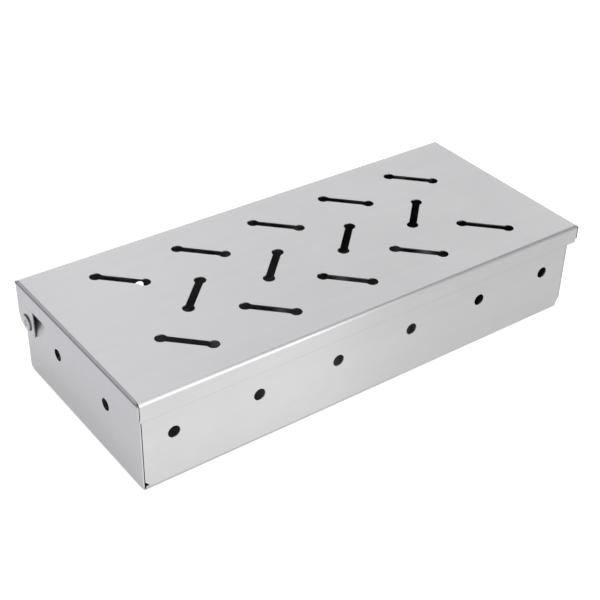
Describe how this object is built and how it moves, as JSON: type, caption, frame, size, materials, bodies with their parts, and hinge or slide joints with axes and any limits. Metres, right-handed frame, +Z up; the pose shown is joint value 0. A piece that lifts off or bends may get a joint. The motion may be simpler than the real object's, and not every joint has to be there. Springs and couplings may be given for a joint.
{
  "type": "smoker box",
  "caption": "Low rectangular folded-sheet smoker box for wood chips, with a slotted hinged lid and air holes round the tray walls.",
  "frame": {"origin": "on the surface the box stands on, under the centre of the whole part's bounding box (the middle of the closed lid)", "axes": "+X towards the right end along the box's length, +Y from the front wall to the hinge side at the back, +Z up"},
  "size_m": [0.2322, 0.1006, 0.0431],
  "materials": {
    "lid_steel": "fine straight brushed grain along the length, satin",
    "tray_steel": "fine straight brushed grain, satin",
    "rivet_steel": "tumbled satin rivet",
    "pin_steel": "dull broken pin end"
  },
  "bodies": {
    "tray": {"tray": "tray_steel"},
    "lid": {"lid": "lid_steel", "left_hinge_rivet": "rivet_steel", "right_hinge_rivet": "rivet_steel", "left_rivet_pin_stub": "pin_steel", "right_rivet_pin_stub": "pin_steel"}
  },
  "joints": [
    {"name": "lid_hinge", "type": "hinge", "parent": "tray", "child": "lid", "pos_m": [0, 0.04148, 0.02665], "axis": [-1, 0, 0], "range_deg": [0, 108]}
  ]
}
